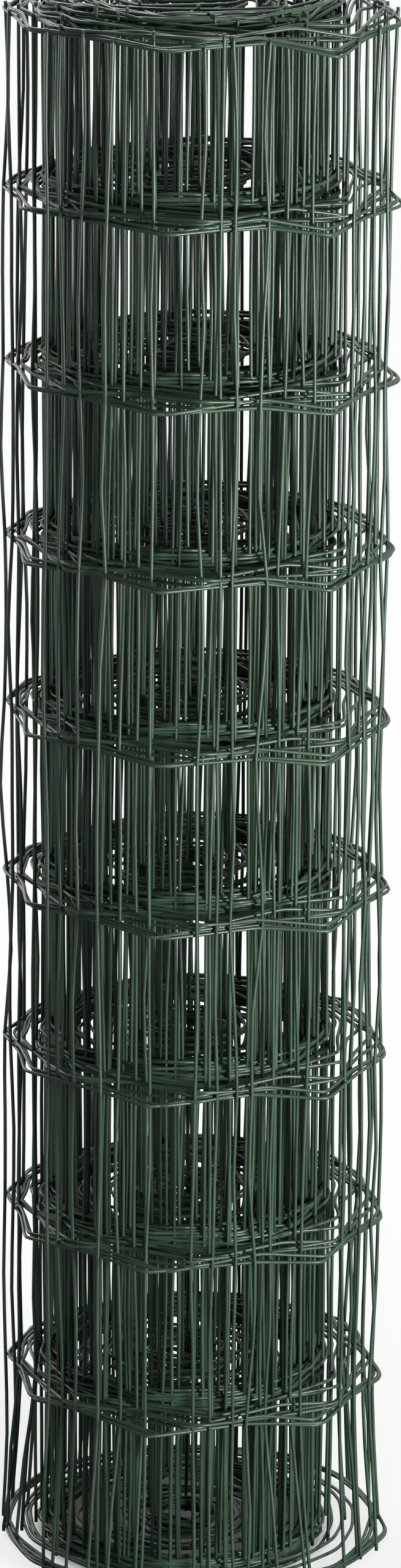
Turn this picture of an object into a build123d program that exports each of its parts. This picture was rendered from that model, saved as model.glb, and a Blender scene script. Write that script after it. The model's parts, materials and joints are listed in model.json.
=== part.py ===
"""A roll of welded wire fencing, standing on its end. Millimetres, +Z up.

The welded mesh is one piece of stock, wound on itself with no core, so the roll is one turned solid
with its bore. The line wires show as beads round the outside, and the turns show on both ends as
ridges with the gaps between the turns cut in. The outermost turns have sprung loose at the base, so
the roll flares there. The origin is on the axis, at the plane that the roll stands on.
"""

import os

from build123d import *

# Mesh
wire_diameter = 2.0
line_wire_count = 10
line_wire_spacing = 100.0
stay_overhang = 2.0

# Roll
roll_diameter = 218.0
bore_diameter = 20.0
turn_spacing = 4.6
turn_gap_depth = 5.0

# Outermost turns, sprung loose at the base
loose_turn_count = 3
loose_spread = 5.0

# Worked out from the sizes above
roll_radius = roll_diameter / 2
bore_radius = bore_diameter / 2
stay_radius = roll_radius - wire_diameter
roll_height = (line_wire_count - 1) * line_wire_spacing + wire_diameter + 2 * stay_overhang
turn_count = int((stay_radius - bore_radius - wire_diameter) // turn_spacing) + 1


def turn_profile(end_z, inward, spread):
    """Points across one end, from the outside to the bore: a ridge for each turn, a gap after it.

    end_z is the height of the end, inward is -1 where the solid lies below it or 1 where above, and
    spread is how far the loose turns stand out. The first turn has a flat land, a wire wide, the last
    one a land that reaches the bore, and the others a sharp ridge.
    """
    ridges = [stay_radius - wire_diameter / 2 - turn * turn_spacing for turn in range(turn_count)]
    for turn in range(loose_turn_count):
        ridges[turn] += spread
    points = [(ridges[0] + wire_diameter / 2, end_z), (ridges[0] - wire_diameter / 2, end_z)]
    for outer, inner in zip(ridges, ridges[1:]):
        points.append(((outer + inner) / 2, end_z + inward * turn_gap_depth))
        points.append((inner, end_z))
    points.append((bore_radius, end_z))
    return points


def bead_profile(wire, spread):
    """Points up the outside over one line wire, numbered from the floor."""
    centre_z = stay_overhang + wire_diameter / 2 + wire * line_wire_spacing
    return [
        (stay_radius + spread, centre_z - wire_diameter / 2),
        (roll_radius + spread, centre_z),
        (stay_radius + spread, centre_z + wire_diameter / 2),
    ]


# Half section of the roll: up the outside, in across the top end, down the bore, out across the base
outside = bead_profile(0, loose_spread)
for wire in range(1, line_wire_count):
    outside += bead_profile(wire, 0)
top_end = turn_profile(roll_height, -1, 0)
base_end = turn_profile(0, 1, loose_spread)
half_section = outside + top_end + base_end[::-1]

with BuildPart() as mesh_roll:
    with BuildSketch(Plane.XZ):
        with BuildLine():
            Polyline(*half_section, close=True)
        make_face()
    revolve(axis=Axis.Z)

mesh_roll.part.label = "mesh_roll"

os.makedirs("parts", exist_ok=True)
export_step(mesh_roll.part, "parts/mesh_roll.step")
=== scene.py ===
"""Looks of the roll of welded wire fencing, around its turned solid.

The turned solid stands for the roll in simulation. Here the roll is shown as it is: one welded sheet of
coated wire, with ten line wires and a stay at every mesh width, wound on itself from the bore outwards.
The mesh and the camera are sized in millimetres and degrees, and turned to metres when they are made. The
coat, the floor and the lights are in metres. An angle round the roll is counted from the front, -Y,
towards +X, and a line wire's level is counted from the floor.
"""

import json
import math

import bpy
import numpy as np
from mathutils import Matrix, Vector


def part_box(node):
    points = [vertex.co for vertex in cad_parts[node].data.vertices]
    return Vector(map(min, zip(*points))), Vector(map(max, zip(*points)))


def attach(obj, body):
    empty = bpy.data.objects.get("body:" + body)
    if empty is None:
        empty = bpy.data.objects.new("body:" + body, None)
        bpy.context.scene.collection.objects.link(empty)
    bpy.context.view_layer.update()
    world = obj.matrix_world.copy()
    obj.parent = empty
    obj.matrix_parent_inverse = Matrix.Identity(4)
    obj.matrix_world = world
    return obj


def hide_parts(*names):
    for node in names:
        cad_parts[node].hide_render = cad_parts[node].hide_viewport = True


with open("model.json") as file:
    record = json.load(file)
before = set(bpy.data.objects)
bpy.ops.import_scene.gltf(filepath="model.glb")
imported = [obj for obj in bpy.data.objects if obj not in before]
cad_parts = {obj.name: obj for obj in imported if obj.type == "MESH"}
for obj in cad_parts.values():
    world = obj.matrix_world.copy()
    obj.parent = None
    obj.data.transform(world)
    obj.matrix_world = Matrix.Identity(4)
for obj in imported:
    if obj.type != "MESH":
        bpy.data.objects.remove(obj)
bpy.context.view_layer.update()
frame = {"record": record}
node_low, node_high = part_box("mesh_roll")

MM = 0.001
winding_seed = 1469
rng = np.random.default_rng(winding_seed)

# Mesh
wire_diameter = 2.0
line_wire_count = 10
mesh_width = 100.0
stay_overhang = 2.0
line_wire_overhang = 3.0
weld_sink = 0.15

# Roll, from the frame
bore_radius = next(m["dims"]["r_mm"] for m in frame["record"]["mounts"] if m["name"] == "bore")
base_flare = 5.0
roll_radius = (node_high.x - node_low.x) / 2 / MM - base_flare
roll_height = (node_high.z - node_low.z) / MM
line_wire_spacing = (roll_height - wire_diameter - 2 * stay_overhang) / (line_wire_count - 1)

# Winding, from the bore outwards: turns in each bundle, their spacing, and the gap outside the bundle
bundles = [
    (14, 0.7, 4.0),
    (12, 3.2, 4.8),
    (10, 0.4, 0.6),
    (10, 0.38, 0.6),
    (11, 0.36, 2.7),
    (3, 1.0, 7.5),
    (3, 0.9, 3.5),
    (3, 0.9, 0.0),
]
gap_opening_turns = 0.3
stay_count = 251
stay_in_front = 19.5
free_end_angle = 150.0
free_end_margin = 5.0

# Loose turns, from the outermost inwards: how far turned on, lift, and radius offset at the base
loose_turns = [
    (0.0, 0.0, 4.0),
    (0.5, 1.4, 3.3),
    (1.0, 0.3, 2.6),
    (11.0, 2.6, 1.9),
    (12.0, 4.0, 1.2),
    (12.5, 2.8, 0.5),
    (21.0, 4.6, -8.5),
    (22.0, 6.0, -13.0),
    (23.0, 4.2, -17.0),
]

# Bends of the outermost turn, corners and the dents between them: angle, radius offset, and sag at the top
loose_bends = [
    (-207, 4.0, 0.0),
    (-183, -4.0, 0.0),
    (-160, 4.5, 0.0),
    (-138, -4.0, 0.0),
    (-118, 3.5, 0.0),
    (-107, -1.0, 0.0),
    (-97, 4.5, 0.0),
    (-78, -4.5, 0.0),
    (-60, 4.0, 0.0),
    (-34, -7.0, 0.0),
    (-11, 9.5, 0.0),
    (19.5, -7.5, -1.0),
    (40.5, 8.0, 7.0),
    (61, -3.0, 4.0),
    (82, 5.5, 3.0),
    (100, -3.0, 2.0),
    (117, 4.0, 0.0),
    (135, -3.0, 0.0),
]
loose_bend_share_range = (0.7, 1.0)
loose_lift_wander = 1.6

# Looseness, from 0 on the tight turns to 1 on the outermost one, at which a turn is clear of the tight ones
loose_from = 0.5

# How far the bends of the other loose turns wander round the roll: in front, to the right and to the left
front_reach = 60
front_bend_wander = 1.5
right_bend_wander = 2.5
left_bend_wander = 6.0

# Shares of the bends, sags, lifts and unevenness left at the base, and a corner sprung out there
base_bend_share = 0.15
base_sag_share = 0.3
base_lift_share = 0.6
base_wander_share = 0.1
base_corner_angle = 82
base_corner_spread = 5.0
base_corner_turns = 2

# Bends of the tight turns inside, which lie to one side in the loose ones
tight_bend = 3.2
tight_bend_share_range = (0.2, 1.0)
tight_bend_spacing = (34.0, 58.0)
tight_bends_per_turn = 6
tight_lifts = [1.0, 5.0, 9.0, 3.0, 7.0, 11.0]
tight_lift_wander = 2.6
lift_change_wander = 0.2
last_tight_bend_margin = 0.05
tight_aside = -6.5

# Rounding of the bends: in front, at the sides and the back, and at the base
bend_rounding = 2.5
side_bend_rounding = 6.0
base_bend_rounding = 6.0
rounding_reach = 4
side_angle = 55.0
side_fade = 20.0

# Unevenness from level to level, with two sizes where tight turns and the outermost one differ
radial_wander = (0.6, 1.5)
slip_wander = (0.9, 1.8)
shear_wander = 0.4
lift_wander = 0.4
bow_wander = (0.4, 1.3)

# Tubes, with line wires in steps for tight and for loose turns
wire_sides = 8
fine_step = 1.0
line_wire_step = (7.0, 4.0)
stay_steps_per_half_bay = 2
stay_piece_count = 3

# Coat: dark and light patches, gloss and grain
dark_coat = (0.018, 0.043, 0.025, 1)
light_coat = (0.031, 0.072, 0.041, 1)
dark_position = 0.3
light_position = 0.72
patch_scale = 45
patch_detail = 4
coat_specular = 0.6
coat_roughness = (0.34, 0.5)
grain_scale = 900
grain_detail = 2
grain_strength = 0.12
grain_depth = 0.0003

# Floor: shares of white that the camera and gloss see over spans of distance, and the floor's tones; in a
# disc under the roll the camera sees little white and a darker tone, painted shade over the floor's real lit
# shading there
floor_reach = 12.0
floor_roughness = 0.9
# Painted shade: a disc under the roll where the camera's white share and the floor's tone are low
shaded_disc_span = (0.078, 0.092)
shaded_disc_shares = (0.05, 0.75)
outside_span = (0.092, 0.6)
outside_shares = (0.0, 0.22)
gloss_span = (0.3, 6.0)
gloss_shares = (0.0, 0.97)
shaded_disc_and_floor_tones = (0.3, 0.8)

# Surroundings: plain light from all round, white to the camera and in gloss from behind the roll
ambient = 0.08
white = 1.0
behind_span = (0.0, 0.5)

# Soft lights: place, target, side, watts and spread in degrees
softboxes = {
    "key_light": ((1.7, -1.55, 0.6), (0, 0, 0.55), 0.5, 24, 90),
    "fill_light": ((-1.4, -2.8, 1.5), (0, 0, 0.6), 1.6, 6, 180),
    "top_light": ((0.2, -0.5, 2.7), (0, 0, 0.6), 1.0, 14, 180),
    "back_light": ((-0.5, 1.7, 2.3), (0, 0, 0.6), 1.2, 28, 180),
    "side_light": ((-1.6, 1.7, 0.7), (0, 0, 0.5), 1.0, 14, 180),
}

# Camera, with its height over the lowest line wire
camera_distance = 3638.0
camera_height = 1591.0
camera_aside = 2.1
camera_pitch = 17.34
camera_roll = 0.43
camera_lens = 153.4
camera_sensor = 36.0
camera_clip_end = 50000.0

# Worked out from the sizes above
turn_count = sum(turns for turns, _, _ in bundles)
tight_turn_count = turn_count - len(loose_turns)
inner_radius = bore_radius + wire_diameter
outer_radius = inner_radius + sum(turns * spacing + gap for turns, spacing, gap in bundles)
radius_trim = (roll_radius - wire_diameter - inner_radius) / (outer_radius - inner_radius)


def smooth_step(x):
    """0 below 0, 1 above 1, and smooth between."""
    x = np.clip(x, 0, 1)
    return x * x * (3 - 2 * x)


def between(sizes, looseness):
    """Size between that of the tight turns and that of the loose ones."""
    return sizes[0] + (sizes[1] - sizes[0]) * looseness


def mean_radius(turn):
    """Mean radius at a turn number counted from the bore: close turns in bundles, with gaps between."""
    rise = 0.0
    start = 0
    for turns, spacing, gap in bundles:
        rise += spacing * min(max(turn - start, 0), turns)
        start += turns
        rise += gap * float(smooth_step((turn - start) / gap_opening_turns + 1))
    return inner_radius + radius_trim * rise


def tight_rows():
    """Bends of the tight turns, out and in by turns: angle, radius, base radius, lift, sag and looseness."""
    rows = []
    turn = 0.0
    side = 1
    while turn < tight_turn_count - last_tight_bend_margin:
        radius = mean_radius(turn)
        lift_number = int(turn + rng.uniform(-lift_change_wander, lift_change_wander))
        lift = tight_lifts[lift_number % len(tight_lifts)] + tight_lift_wander * rng.normal()
        angle = free_end_angle + 360 * (turn - turn_count)
        radius += side * tight_bend * rng.uniform(*tight_bend_share_range)
        rows.append((angle, radius, radius, lift, 0.0, 0.0))
        step = min(rng.uniform(*tight_bend_spacing), 2 * math.pi * radius / tight_bends_per_turn)
        turn += step / (2 * math.pi * radius)
        side = -side
    return rows


def bend_wander(place):
    """How far a bend of a loose turn wanders round the roll, by its place."""
    if abs(place) < front_reach:
        return front_bend_wander
    return right_bend_wander if place > 0 else left_bend_wander


def loose_rows():
    """Bends of the loose turns, like those of the outermost one, in rows like those of the tight turns."""
    rows = []
    for back in reversed(range(len(loose_turns))):
        turned, lift, base_offset = loose_turns[back]
        looseness = 1 - back / len(loose_turns)
        for place, offset, sag in loose_bends:
            wander = bend_wander(place)
            angle = place + turned + rng.uniform(-wander, wander) * (back > 0)
            base_radius = roll_radius - wire_diameter + base_offset + base_bend_share * offset
            if place == base_corner_angle and back < base_corner_turns:
                base_radius += base_corner_spread
            offset *= 1 if back == 0 else rng.uniform(*loose_bend_share_range)
            turn = turn_count - back - (free_end_angle - angle) / 360
            radius = mean_radius(turn) + offset
            bend_lift = lift + loose_lift_wander * rng.normal() * (back > 0)
            rows.append((angle - 360 * back, radius, base_radius, bend_lift, sag * looseness, looseness))
    return rows


def winding_bends():
    """Bends of the sheet in order, from the bore to the free end."""
    rows = np.array(tight_rows() + loose_rows())
    return rows[np.argsort(rows[:, 0])]


def bend_points(bends):
    """Places of the bends at every line wire, with the unevenness from level to level."""
    angle, radius, base_radius, lift, sag, looseness = bends.T
    shape = (line_wire_count, len(bends))
    levels = np.arange(line_wire_count)[:, None]
    radius = np.tile(radius, (line_wire_count, 1))
    radius[0] = base_radius
    wander_share = np.where(levels > 0, 1, base_wander_share)
    radius += between(radial_wander, looseness) * wander_share * rng.normal(0, 1, shape)
    slip = between(slip_wander, looseness) * rng.normal(0, 1, shape)
    slip += shear_wander * (levels - line_wire_count / 2) * rng.normal(0, 1, len(bends))
    rise = lift + lift_wander * rng.normal(0, 1, shape)
    rise -= sag * (base_sag_share + (1 - base_sag_share) * levels / (line_wire_count - 1))
    rise[0] *= base_lift_share
    turned = np.radians(angle) + slip / radius
    aside = tight_aside * (1 - smooth_step(looseness / loose_from))
    return np.stack([radius * np.sin(turned) + aside, -radius * np.cos(turned), rise], axis=-1)


def smoothed(values, rounding):
    """Values along the fine run, with the bends rounded."""
    reach = int(rounding_reach * rounding / fine_step)
    kernel = np.exp(-0.5 * (np.arange(-reach, reach + 1) * fine_step / rounding) ** 2)
    padded = np.concatenate([np.full(reach, values[0]), values, np.full(reach, values[-1])])
    return np.convolve(padded, kernel / kernel.sum(), mode="valid")


# Fine run along the sheet at every line wire, and how loose the sheet is there
bends = winding_bends()
bend_angles = bends[:, 0]
bend_looseness = bends[:, -1]
corner_points = bend_points(bends)
side_lengths = np.linalg.norm(np.diff(corner_points[1:, :, :2].mean(axis=0), axis=0), axis=1)
bend_lengths = np.concatenate([[0], np.cumsum(side_lengths)])
fine_length = np.arange(0, bend_lengths[-1], fine_step)
fine_points = np.empty((line_wire_count, len(fine_length), 3))
from_front = np.abs((np.interp(fine_length, bend_lengths, bend_angles) + 180) % 360 - 180)
sideways = smooth_step((from_front - side_angle) / side_fade)
for level in range(line_wire_count):
    for axis in range(3):
        run = np.interp(fine_length, bend_lengths, corner_points[level, :, axis])
        front = smoothed(run, bend_rounding if level else base_bend_rounding)
        side = smoothed(run, side_bend_rounding if level else base_bend_rounding)
        fine_points[level, :, axis] = front + (side - front) * sideways
fine_looseness = np.interp(fine_length, bend_lengths, bend_looseness)
fine_along = np.gradient(fine_points[:, :, :2], axis=1)
fine_along /= np.linalg.norm(fine_along, axis=-1, keepdims=True)

# Stays, with one at its place in front on the outermost turn
front_length = np.interp(stay_in_front, bend_angles, bend_lengths)
last_length = fine_length[-1] - free_end_margin
stay_lengths = np.arange(front_length % mesh_width, last_length, mesh_width)[-stay_count:]
sheet_start = max(stay_lengths[0] - line_wire_overhang, 0)
sheet_end = stay_lengths[-1] + line_wire_overhang

# Height of the lowest line wire, with the roll standing on its lowest stay or line wire
base_rise = fine_points[0, :, 2]
on_stays = stay_overhang + wire_diameter / 2 - np.interp(stay_lengths, fine_length, base_rise).min()
on_wire = wire_diameter / 2 - base_rise.min()
lowest = max(on_stays, on_wire)


def level_height(level):
    """Mean height of a line wire."""
    return lowest + level * line_wire_spacing


def sheet_points(length, level):
    """Line wire's centre at lengths along the sheet, with its direction outwards in plan."""
    points = np.stack([np.interp(length, fine_length, fine_points[level, :, k]) for k in range(3)], axis=-1)
    along = np.stack([np.interp(length, fine_length, fine_along[level, :, k]) for k in range(2)], axis=-1)
    along /= np.linalg.norm(along, axis=-1, keepdims=True)
    points[:, 2] += level_height(level)
    return points, np.stack([along[:, 1], -along[:, 0]], axis=-1)


def tube(points, across, up):
    """Vertices and faces of a closed tube along points; across and up span its section at each point."""
    angles = np.linspace(0, 2 * math.pi, wire_sides, endpoint=False)[None, :, None]
    ring = np.cos(angles) * across[:, None, :] + np.sin(angles) * up[:, None, :]
    vertices = (points[:, None, :] + wire_diameter / 2 * ring).reshape(-1, 3)
    ring_starts = np.arange(len(points) - 1)[:, None] * wire_sides
    sides = np.arange(wire_sides)
    first = ring_starts + sides
    beside = ring_starts + (sides + 1) % wire_sides
    quads = np.stack([first, beside, beside + wire_sides, first + wire_sides], axis=-1).reshape(-1, 4)
    start_cap = sides[::-1]
    end_cap = sides + (len(points) - 1) * wire_sides
    return vertices, quads, (start_cap, end_cap)


def joined_mesh(name, tubes):
    """One mesh of tubes, in metres, smooth along the wires and flat on their ends."""
    vertices, corners, totals, smooth = [], [], [], []
    count = 0
    for points, quads, caps in tubes:
        vertices.append(points)
        corners += [quads.ravel() + count] + [cap + count for cap in caps]
        totals += [np.full(len(quads), 4), np.full(len(caps), wire_sides)]
        smooth += [np.ones(len(quads), bool), np.zeros(len(caps), bool)]
        count += len(points)
    vertices = np.concatenate(vertices) * MM
    corners = np.concatenate(corners)
    totals = np.concatenate(totals)
    mesh = bpy.data.meshes.new(name)
    mesh.vertices.add(len(vertices))
    mesh.vertices.foreach_set("co", vertices.astype(np.float32).ravel())
    mesh.loops.add(len(corners))
    mesh.loops.foreach_set("vertex_index", corners.astype(np.int32))
    mesh.polygons.add(len(totals))
    mesh.polygons.foreach_set("loop_start", (np.cumsum(totals) - totals).astype(np.int32))
    mesh.polygons.foreach_set("use_smooth", np.concatenate(smooth))
    mesh.update(calc_edges=True)
    mesh.validate()
    return mesh


def add_piece(name, tubes, material):
    """Piece of coated wire that stands for the turned solid."""
    mesh = joined_mesh(name, tubes)
    mesh.materials.append(material)
    piece = bpy.data.objects.new(name, mesh)
    bpy.context.scene.collection.objects.link(piece)
    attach(piece, "root")
    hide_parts("mesh_roll")


def line_wire_lengths():
    """Lengths along the sheet at which a line wire is sampled: closer on the outer turns."""
    step = between(line_wire_step, smooth_step(fine_looseness / loose_from))
    steps = np.cumsum(fine_step / step)
    first, last = np.interp([sheet_start, sheet_end], fine_length, steps)
    return np.append(np.interp(np.arange(first, last), steps, fine_length), sheet_end)


def make_line_wires(material):
    """One piece for each line wire, wound from the bore to the free end."""
    lengths = line_wire_lengths()
    for level in range(line_wire_count):
        points, outward = sheet_points(lengths, level)
        across = np.column_stack([outward, np.zeros(len(points))])
        up = np.tile([0.0, 0.0, 1.0], (len(points), 1))
        add_piece(f"line_wire_{level + 1}", [tube(points, across, up)], material)


def stay_knots():
    """Knots of every stay: its welds outside each line wire, and the slightly bowed middles between."""
    welds = []
    for level in range(line_wire_count):
        points, outward = sheet_points(stay_lengths, level)
        points[:, :2] += outward * (wire_diameter - weld_sink)
        welds.append(points)
    welds = np.stack(welds, axis=1)
    bow_size = between(bow_wander, np.interp(stay_lengths, fine_length, fine_looseness))
    middles = (welds[:, 1:] + welds[:, :-1]) / 2
    middles[:, :, :2] += bow_size[:, None, None] * rng.normal(0, 1, middles[:, :, :2].shape)
    knots = np.empty((len(stay_lengths), 2 * line_wire_count - 1, 3))
    knots[:, 0::2] = welds
    knots[:, 1::2] = middles
    return knots


def stay_path(knots):
    """Smooth path through a stay's knots, with its ends past the outermost two line wires."""
    end = stay_overhang + wire_diameter / 2
    padded = np.vstack([2 * knots[0] - knots[1], knots, 2 * knots[-1] - knots[-2]])
    path = [knots[0] - (0, 0, end)]
    for before, start, finish, after in zip(padded, padded[1:], padded[2:], padded[3:]):
        slope_in = (finish - before) / 2
        slope_out = (after - start) / 2
        turn = 2 * (start - finish) + slope_in + slope_out
        bend = 3 * (finish - start) - 2 * slope_in - slope_out
        for share in np.arange(stay_steps_per_half_bay) / stay_steps_per_half_bay:
            path.append(start + share * (slope_in + share * (bend + share * turn)))
    path += [knots[-1], knots[-1] + (0, 0, end)]
    return np.array(path)


def make_stays(material):
    """Stays in a few pieces, from the bore to the free end."""
    groups = np.array_split(stay_knots(), stay_piece_count)
    for number, group in enumerate(groups):
        tubes = []
        for knots in group:
            path = stay_path(knots)
            across = np.tile([1.0, 0.0, 0.0], (len(path), 1))
            up = np.tile([0.0, 1.0, 0.0], (len(path), 1))
            tubes.append(tube(path, across, up))
        add_piece(f"stays_{number + 1}", tubes, material)


def add_map_range(tree, value, span, shares):
    """Output that takes a value from a span to a pair of shares, and holds it at the ends."""
    node = tree.nodes.new("ShaderNodeMapRange")
    node.inputs["From Min"].default_value = span[0]
    node.inputs["From Max"].default_value = span[1]
    node.inputs["To Min"].default_value = shares[0]
    node.inputs["To Max"].default_value = shares[1]
    tree.links.new(value, node.inputs["Value"])
    return node.outputs["Result"]


def add_math(tree, operation, first, second):
    """Output that joins two values."""
    node = tree.nodes.new("ShaderNodeMath")
    node.operation = operation
    tree.links.new(first, node.inputs[0])
    tree.links.new(second, node.inputs[1])
    return node.outputs[0]


def add_noise(tree, scale, detail):
    """Output of a noise in the piece's own frame."""
    place = tree.nodes.new("ShaderNodeTexCoord")
    noise = tree.nodes.new("ShaderNodeTexNoise")
    noise.inputs["Scale"].default_value = scale
    noise.inputs["Detail"].default_value = detail
    tree.links.new(place.outputs["Object"], noise.inputs["Vector"])
    return noise.outputs["Fac"]


def coated_wire_material():
    """Dark green plastic coat, satin, slightly uneven in colour and gloss, with a fine grain."""
    material = bpy.data.materials.new("coated_wire")
    material.use_nodes = True
    tree = material.node_tree
    shader = tree.nodes["Principled BSDF"]
    shader.inputs["Specular IOR Level"].default_value = coat_specular
    patches = add_noise(tree, patch_scale, patch_detail)
    colours = tree.nodes.new("ShaderNodeValToRGB")
    dark, light = colours.color_ramp.elements
    dark.position = dark_position
    dark.color = dark_coat
    light.position = light_position
    light.color = light_coat
    tree.links.new(patches, colours.inputs["Fac"])
    tree.links.new(colours.outputs["Color"], shader.inputs["Base Color"])
    roughness = add_map_range(tree, patches, (0, 1), coat_roughness)
    tree.links.new(roughness, shader.inputs["Roughness"])
    bump = tree.nodes.new("ShaderNodeBump")
    bump.inputs["Strength"].default_value = grain_strength
    bump.inputs["Distance"].default_value = grain_depth
    tree.links.new(add_noise(tree, grain_scale, grain_detail), bump.inputs["Height"])
    tree.links.new(bump.outputs["Normal"], shader.inputs["Normal"])
    return material


def pale_floor_material():
    """Pale floor, white to the camera and in gloss away from the roll, with its shadow kept faintly, and a
    darker disc under the roll that is painted shade over its real lit shading.
    """
    material = bpy.data.materials.new("pale_floor")
    material.use_nodes = True
    tree = material.node_tree
    shader = tree.nodes["Principled BSDF"]
    shader.inputs["Roughness"].default_value = floor_roughness
    place = tree.nodes.new("ShaderNodeTexCoord")
    distance = tree.nodes.new("ShaderNodeVectorMath")
    distance.operation = "DISTANCE"
    distance.inputs[1].default_value = (tight_aside * MM, 0, 0)
    tree.links.new(place.outputs["Object"], distance.inputs[0])
    rays = tree.nodes.new("ShaderNodeLightPath")

    def white_share(ray, span, shares):
        share = add_map_range(tree, distance.outputs["Value"], span, shares)
        return add_math(tree, "MULTIPLY", rays.outputs[ray], share)

    # Painted shade: little white for the camera in a disc under the roll
    shaded_disc_share = white_share("Is Camera Ray", shaded_disc_span, shaded_disc_shares)
    outside = white_share("Is Camera Ray", outside_span, outside_shares)
    in_gloss = white_share("Is Glossy Ray", gloss_span, gloss_shares)
    to_camera = add_math(tree, "ADD", shaded_disc_share, outside)
    # Painted shade: a darker floor tone for the camera in the disc under the roll, paler round it
    tone_with_shaded_disc = add_map_range(tree, shaded_disc_share, shaded_disc_shares, shaded_disc_and_floor_tones)
    tree.links.new(tone_with_shaded_disc, shader.inputs["Base Color"])
    glow = tree.nodes.new("ShaderNodeEmission")
    mix = tree.nodes.new("ShaderNodeMixShader")
    tree.links.new(add_math(tree, "ADD", to_camera, in_gloss), mix.inputs["Fac"])
    tree.links.new(shader.outputs[0], mix.inputs[1])
    tree.links.new(glow.outputs[0], mix.inputs[2])
    tree.links.new(mix.outputs[0], tree.nodes["Material Output"].inputs["Surface"])
    return material


def make_floor():
    """Square of floor that reaches far past the view."""
    mesh = bpy.data.meshes.new("floor")
    corners = [(x * floor_reach, y * floor_reach, 0) for x, y in ((-1, -1), (1, -1), (1, 1), (-1, 1))]
    mesh.from_pydata(corners, [], [(0, 1, 2, 3)])
    mesh.materials.append(pale_floor_material())
    floor = bpy.data.objects.new("floor", mesh)
    bpy.context.scene.collection.objects.link(floor)


def make_world():
    """White surroundings for the camera, a white backdrop behind the roll in gloss, and plain soft light."""
    world = bpy.data.worlds.new("surroundings")
    bpy.context.scene.world = world
    world.use_nodes = True
    tree = world.node_tree
    background = tree.nodes["Background"]
    background.inputs["Color"].default_value = (1, 1, 1, 1)
    rays = tree.nodes.new("ShaderNodeLightPath")
    direction = tree.nodes.new("ShaderNodeTexCoord")
    axes = tree.nodes.new("ShaderNodeSeparateXYZ")
    tree.links.new(direction.outputs["Generated"], axes.inputs[0])
    behind = add_map_range(tree, axes.outputs["Y"], behind_span, (0, 1))
    in_gloss = add_math(tree, "MULTIPLY", rays.outputs["Is Glossy Ray"], behind)
    seen = add_math(tree, "MAXIMUM", rays.outputs["Is Camera Ray"], in_gloss)
    strength = add_map_range(tree, seen, (0, 1), (ambient, white))
    tree.links.new(strength, background.inputs["Strength"])


def add_softbox(name, place, target, side, watts, spread):
    """Square soft light at a place, turned to a target."""
    light = bpy.data.lights.new(name, "AREA")
    light.shape = "SQUARE"
    light.size = side
    light.energy = watts
    light.spread = math.radians(spread)
    lamp = bpy.data.objects.new(name, light)
    lamp.location = place
    lamp.rotation_mode = "QUATERNION"
    lamp.rotation_quaternion = (Vector(place) - Vector(target)).to_track_quat("Z", "Y")
    bpy.context.scene.collection.objects.link(lamp)


def make_camera():
    """Camera at the photograph's place: in front, above the roll, looking down at it."""
    data = bpy.data.cameras.new("camera")
    data.sensor_width = camera_sensor
    data.lens = camera_lens
    data.clip_end = camera_clip_end * MM
    camera = bpy.data.objects.new("camera", data)
    height = camera_height + level_height(0)
    place = Matrix.Translation((camera_aside * MM, -camera_distance * MM, height * MM))
    tilt = Matrix.Rotation(math.radians(90 - camera_pitch), 4, "X")
    camera.matrix_world = place @ tilt @ Matrix.Rotation(math.radians(camera_roll), 4, "Z")
    bpy.context.scene.collection.objects.link(camera)
    bpy.context.scene.camera = camera


bpy.context.scene.view_settings.view_transform = "Standard"
coated_wire = coated_wire_material()
make_line_wires(coated_wire)
make_stays(coated_wire)
make_floor()
make_world()
for name, settings in softboxes.items():
    add_softbox(name, *settings)
make_camera()
